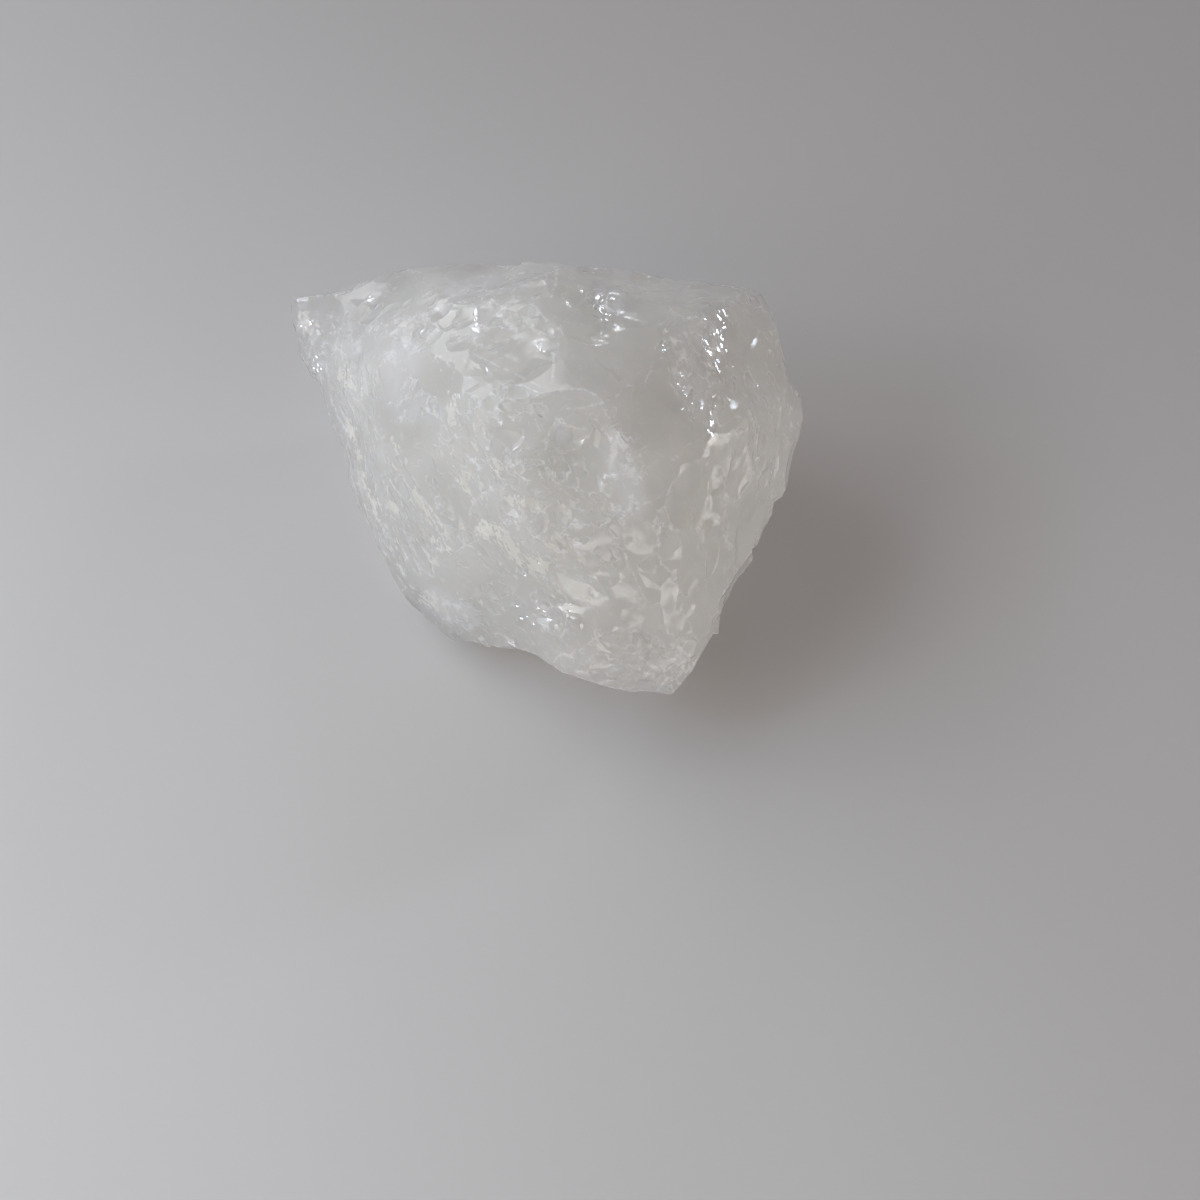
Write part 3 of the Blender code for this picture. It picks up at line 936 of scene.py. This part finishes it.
def all_round_chips(rng, skin, stone, tip, ridges, count, sizes, deep, lean):
    """Chips scattered over the whole skin, or along its ridges alone.

    The face that the stone rests on and its tip are spared.
    """
    mesh = stone.data
    if ridges:
        corners = read_points(stone)
        ends = read_ends(mesh)
        weight = np.linalg.norm(corners[ends[:, 0]] - corners[ends[:, 1]], axis=1)
        weight = weight * (ridge_sharpness(mesh, 20, 28) >= 1)
        middles = corners[ends].mean(1)
    else:
        middles = read_faces(mesh, "center")
        weight = np.array([p.area for p in mesh.polygons])
    weight = np.where(middles[:, 2] < 1.5 * MM, 0, weight)
    spared = (TIP_SPARED + sizes[1] * 0.85) * MM
    by_tip = np.linalg.norm(middles - np.array(tip), axis=1) < spared
    weight = np.where(by_tip, 0, weight)
    made = []
    for i in rng.choice(len(weight), count, p=weight / weight.sum()):
        place = Vector(middles[i])
        size = random_size(rng, sizes)
        outward = skin.facing(place, size * 0.7) + Vector(rng.normal(size=3)) * lean
        along = Vector(rng.normal(size=3))
        wide = size * rng.uniform(0.35, 1)
        made.append(
            punch(
                skin,
                place,
                outward,
                along,
                (size, wide, wide * rng.uniform(*deep)),
                seed=rng.uniform(0, 50),
                flat=rng.choice(FLAT_SHARES),
            )
        )
    return made


def standing_scars(skin):
    """The scars that stand out, some turned to mirror a lamp."""
    made = []
    for i, row_of_scar in enumerate(SCARS):
        column, row, length, width, bearing, depth, ripple, lamp_at, most_turn = row_of_scar
        place = skin.spot(column, row)
        outward = skin.facing(place, width * MM * 0.6)
        kind = {"flat": 0.3, "most": 2, "wavy": 0.8}
        if lamp_at:
            outward = turned_to_mirror(place, outward, lamp_at, most_turn)
            kind = {"flat": 0.6, "most": 4, "wavy": 0.06}
        size = (length * MM, width * MM, depth * MM)
        along = drawn_way(bearing)
        made.append(
            punch(skin, place, outward, along, size, i + 0.5, ripple, fine=True, **kind)
        )
    return made


def zone_chips(rng, skin, tip):
    """Small chips scattered in each zone of the drawing, but for the stone's tip."""
    made = []
    for column, row, wide, tall, count, sizes, slimness, bearing, spread, deep in ZONES:
        for _ in range(count):
            while True:
                u, v = rng.uniform(-1, 1, 2)
                if u * u + v * v < 1:
                    break
            place = skin.spot(column + u * wide, row + v * tall)
            spared = by_mirror(column + u * wide, row + v * tall)
            size = random_size(rng, sizes)
            slim = rng.uniform(*slimness)
            along = drawn_way(bearing + rng.uniform(-spread, spread))
            lean = Vector([rng.normal() * ZONE_LEAN for _ in range(3)])
            share = rng.uniform(*deep)
            seed = rng.uniform(0, 50)
            if spared or place is None or (place - tip).length < TIP_SPARED * MM + size:
                continue
            outward = skin.facing(place, size * 0.7) + lean
            whole = (size, size * slim, size * slim * share)
            flat = rng.choice(FLAT_SHARES)
            made.append(punch(skin, place, outward, along, whole, seed, flat=flat))
    return made


def sparkles(rng, skin):
    """Tiny flat facets in clusters, each turned to mirror a lamp."""
    made = []
    for column, row, wide, tall, count, sizes, slim, bearing, lamp_at in SPARKLES:
        for _ in range(count):
            place = skin.spot(
                column + rng.normal() * wide * 0.5, row + rng.normal() * tall * 0.5
            )
            size = random_size(rng, sizes)
            along = drawn_way(bearing + rng.normal() * 15)
            jitter = Vector(rng.normal(size=3)) * SPARKLE_LEAN
            seed = rng.uniform(0, 50)
            if place is None:
                continue
            outward = turned_to_mirror(place, skin.facing(place, size), lamp_at, 45) + jitter
            whole = (size, size * slim, size * slim * 0.2)
            flat = 0.8 if slim > 0.34 else 0.0
            made.append(
                punch(skin, place, outward, along, whole, seed, flat=flat, most=6, wavy=0.05)
            )
    return made


def triangulate(stone):
    only(stone)
    bpy.ops.object.mode_set(mode="EDIT")
    bpy.ops.mesh.select_mode(type="EDGE")
    bpy.ops.mesh.select_all(action="SELECT")
    bpy.ops.mesh.quads_convert_to_tris(quad_method="BEAUTY", ngon_method="BEAUTY")
    bpy.ops.object.mode_set(mode="OBJECT")


def thin_out(stone, triangles):
    """Leaves about this many triangles."""
    thin = stone.modifiers.new("thin", "DECIMATE")
    thin.ratio = triangles / len(stone.data.polygons)
    thin.use_collapse_triangulate = True
    apply_modifier(stone, "thin")


def refine(stone, longest, where=None, rounds=3):
    """Splits the edges that are longer than this, all over or where a test of points says."""
    for _ in range(rounds):
        mesh = stone.data
        points = read_points(stone)
        ends = read_ends(mesh)
        long = np.linalg.norm(points[ends[:, 0]] - points[ends[:, 1]], axis=1) > longest
        if where is not None:
            near = where(points)
            long &= near[ends[:, 0]] | near[ends[:, 1]]
        if not long.any():
            break
        only(stone)
        bpy.ops.object.mode_set(mode="EDIT")
        bpy.ops.mesh.select_mode(type="EDGE")
        bpy.ops.mesh.select_all(action="DESELECT")
        bpy.ops.object.mode_set(mode="OBJECT")
        mesh.edges.foreach_set("select", long)
        bpy.ops.object.mode_set(mode="EDIT")
        bpy.ops.mesh.subdivide(number_cuts=1, smoothness=0)
        bpy.ops.object.mode_set(mode="OBJECT")
        triangulate(stone)


def seen_share(stone, points):
    """How squarely each corner faces the sight line, from 0 to 1."""
    sight = points - np.array(EYE)
    facing = np.empty(len(points) * 3)
    stone.data.vertices.foreach_get("normal", facing)
    facing = -(facing.reshape(-1, 3) * sight).sum(1) / np.linalg.norm(sight, axis=1)
    return np.clip(facing / 0.25, 0, 1)


def gap_to(places, line):
    """How far each place is from a line of points, in squares."""
    line = np.array(line, float)
    nearest = np.full(len(places), np.inf)
    for start, end in zip(line[:-1], line[1:]):
        along = end - start
        share = np.clip(((places - start) @ along) / (along @ along), 0, 1)
        gap = np.linalg.norm(places - start - share[:, None] * along, axis=1)
        nearest = np.minimum(nearest, gap)
    return nearest


def by_fine_paint(stone):
    """A test of the stone's points: whether one is seen and by a stroke of fine paint."""

    def near(points):
        places = on_drawing(points)
        close = np.zeros(len(points), bool)
        for kind in FINE_PAINT:
            for half, _, line in PAINT[kind]:
                close |= gap_to(places, line) < half + 3
        return close & (seen_share(stone, points) > 0)

    return near


def paint(stone):
    """Lays the strokes of PAINT on the skin that is seen, as one attribute for each kind."""
    points = read_points(stone)
    seen = seen_share(stone, points)
    places = on_drawing(points)
    for kind, strokes in PAINT.items():
        coat = np.zeros(len(points))
        for half, strength, line in strokes:
            edge = np.clip(1.5 - gap_to(places, line) / half, 0, 1)
            coat = np.maximum(coat, strength * edge * edge * (3 - 2 * edge))
        layer = stone.data.attributes.new(kind, "FLOAT", "POINT")
        layer.data.foreach_set("value", (coat * seen).astype(np.float32))


def ridge_highlight_and_hollow_shade(stone, gentle=8, full=30):
    """Marks the corners on sharp ridges as the attribute edge, for a painted highlight, and in
    hollows as groove, for painted shade.
    """
    mesh = stone.data
    middles = read_faces(mesh, "center")
    normals = read_faces(mesh, "normal")
    edges, one, other, turn = edge_turns(mesh)
    ridge = ((middles[other] - middles[one]) * normals[one]).sum(1) < 0
    ends = read_ends(mesh)[edges]
    sharp = np.clip((turn - gentle) / (full - gentle), 0, 1)
    for name, kept in (("edge", ridge), ("groove", ~ridge)):
        mark = np.zeros(len(mesh.vertices))
        for end in (0, 1):
            np.maximum.at(mark, ends[:, end], sharp * kept)
        layer = mesh.attributes.new(name, "FLOAT", "POINT")
        layer.data.foreach_set("value", mark.astype(np.float32))


stone = stone_blank()
BALLS = {False: ball_template(14, 10), True: ball_template(44, 36)}
rng = np.random.default_rng(CHIP_SEED)
tip = Vector(read_points(stone)[read_points(stone)[:, 0].argmin()])
cut_away(stone, all_round_chips(rng, Skin(stone), stone, tip, False, **FLAKES))
cut_away(stone, notch_cutters())
cut_away(stone, standing_scars(Skin(stone)))
skin = Skin(stone)
chips = all_round_chips(rng, skin, stone, tip, True, **RIDGE_CHIPS)
chips += zone_chips(rng, skin, tip)
chips += sparkles(np.random.default_rng(SPARKLE_SEED), skin)
cut_away(stone, chips)
triangulate(stone)
thin_out(stone, THINNED)
refine(stone, LONGEST_EDGE)
refine(stone, LONGEST_FINE_EDGE, by_fine_paint(stone))
ridge_highlight_and_hollow_shade(stone)
paint(stone)
only(stone)
bpy.ops.object.shade_smooth_by_angle(angle=SMOOTH_ANGLE)
stone.data.materials.clear()
stone.data.materials.append(clear_quartz())
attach(stone, "root")
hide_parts("quartz")

# ---------------------------------------------------------------- table, light and camera

bpy.ops.object.select_all(action="DESELECT")
bpy.ops.mesh.primitive_plane_add(size=4, location=(0, 0, -0.0002))
table = bpy.context.object
table.name = "table"
table.data.materials.append(table_finish())


def lamp(name, place, size, power, colour, aim=(0, 0, 0.015), spread=180):
    """A flat lamp of this width and height in metres, turned to its aim."""
    data = bpy.data.lights.new(name, "AREA")
    data.shape = "RECTANGLE"
    data.size, data.size_y = size
    data.energy = power
    data.color = colour
    data.spread = math.radians(spread)
    made = bpy.data.objects.new(name, data)
    bpy.context.scene.collection.objects.link(made)
    made.location = place
    made.rotation_euler = (Vector(aim) - Vector(place)).to_track_quat("-Z", "Y").to_euler()


lamp("window", LAMPS[1], (0.42, 0.52), 0.286, (0.98, 0.985, 1.0), (-0.10, -0.22, 0), 64)
lamp("window gap", LAMPS[1] * 0.98, (0.07, 0.07), 0.14, DAYLIGHT)
lamp("side window", LAMPS[2], (0.28, 0.26), 0.12, (0.80, 0.92, 1.0), (-0.08, -0.14, 0), 75)
lamp(
    "front window",
    (-0.41, -0.24, 0.26),
    (0.24, 0.24),
    0.05,
    (1.0, 0.96, 0.90),
    (-0.04, -0.08, 0),
    60,
)
lamp("side gap", LAMPS[2] * 0.98, (0.06, 0.06), 0.11, DAYLIGHT)
lamp("far right", LAMPS[3], (0.12, 0.12), 0.75, (0.74, 0.86, 1.0))
lamp("far wall", LAMPS[4], (0.16, 0.08), 0.44, (0.80, 0.90, 1.0))
lamp("low wall", (0.60, -0.35, 0.07), (0.90, 0.12), 1.14, (1.0, 0.99, 0.97))
lamp("low front", (0.04, -0.65, 0.06), (0.60, 0.10), 0.59, (1.0, 0.99, 0.97))


def room():
    """Dim warm light all round, brighter up and to the left."""
    world = bpy.data.worlds.new("room")
    world.use_nodes = True
    tree = world.node_tree
    way = Wire(tree.nodes.new("ShaderNodeTexCoord").outputs["Generated"])
    toward = way.node(
        "ShaderNodeVectorMath",
        {"operation": "DOT_PRODUCT"},
        {0: way, 1: (-0.75, 0.15, 0.64)},
        1,
    )
    dim, bright = (0.146, 0.096, 0.052, 1), (0.268, 0.250, 0.250, 1)
    colour = blend(toward.ramp(-0.4, 1.0), dim, bright)
    tree.links.new(colour.socket, tree.nodes["Background"].inputs["Color"])
    return world


bpy.context.scene.world = room()

camera_data = bpy.data.cameras.new("camera")
camera_data.lens = 85
camera_data.sensor_width = 36
camera = bpy.data.objects.new("camera", camera_data)
bpy.context.scene.collection.objects.link(camera)
camera.location = EYE
camera.rotation_euler = (AIM - EYE).to_track_quat("-Z", "Y").to_euler()
bpy.context.scene.camera = camera
bpy.context.scene.view_settings.view_transform = "Standard"
bpy.context.scene.cycles.max_bounces = 16
bpy.context.scene.cycles.transmission_bounces = 16
